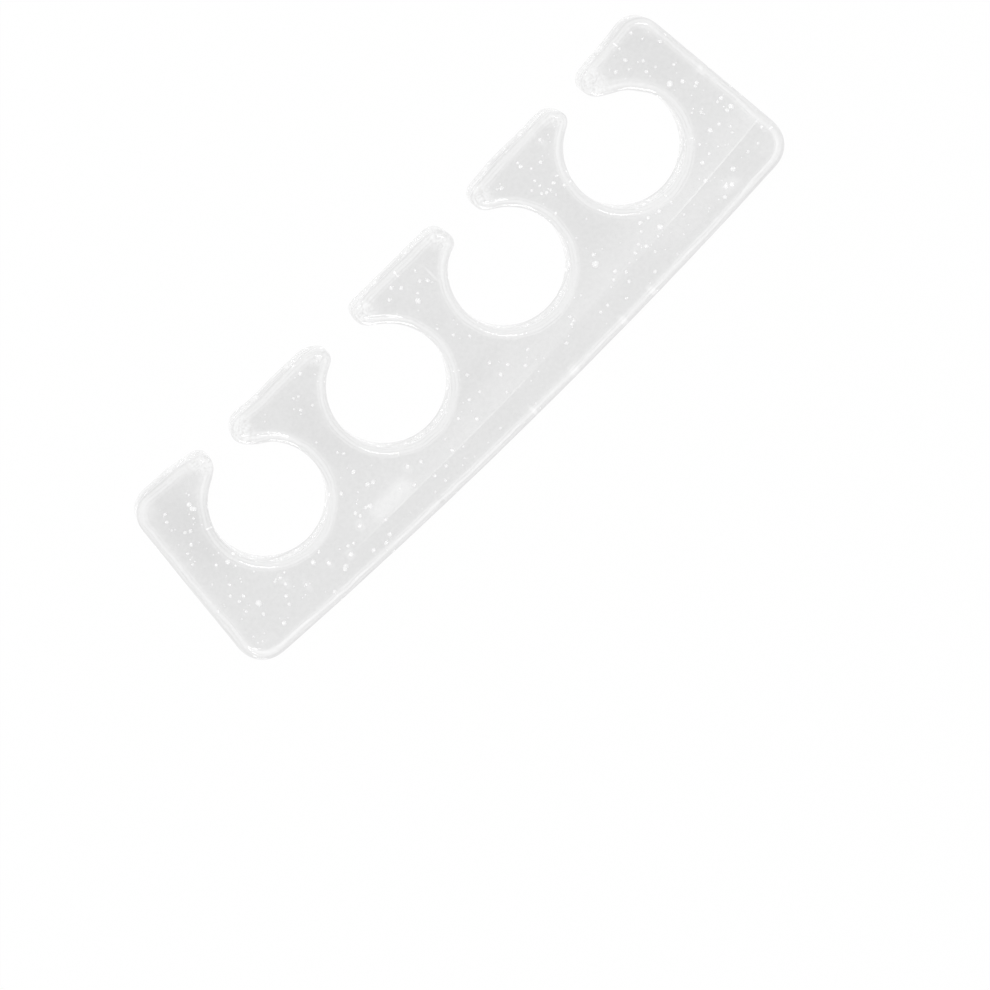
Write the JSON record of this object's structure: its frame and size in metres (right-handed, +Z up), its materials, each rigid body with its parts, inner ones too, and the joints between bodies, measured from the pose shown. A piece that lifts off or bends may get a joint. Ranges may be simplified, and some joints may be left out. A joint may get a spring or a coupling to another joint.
{
  "type": "toe separator",
  "caption": "Soft clear gel toe separator: a flat bar whose round toe holes open through narrow throats along one long side, to hold the toes apart during a pedicure.",
  "frame": {"origin": "under the middle of the outline's box, on the flat underside", "axes": "+X along the bar, +Y towards the open side of the toe holes, +Z up through the thickness"},
  "size_m": [0.11, 0.0322, 0.008],
  "materials": {
    "clear_gel": "gloss"
  },
  "bodies": {
    "root": {"separator_body": "clear_gel"}
  },
  "joints": []
}
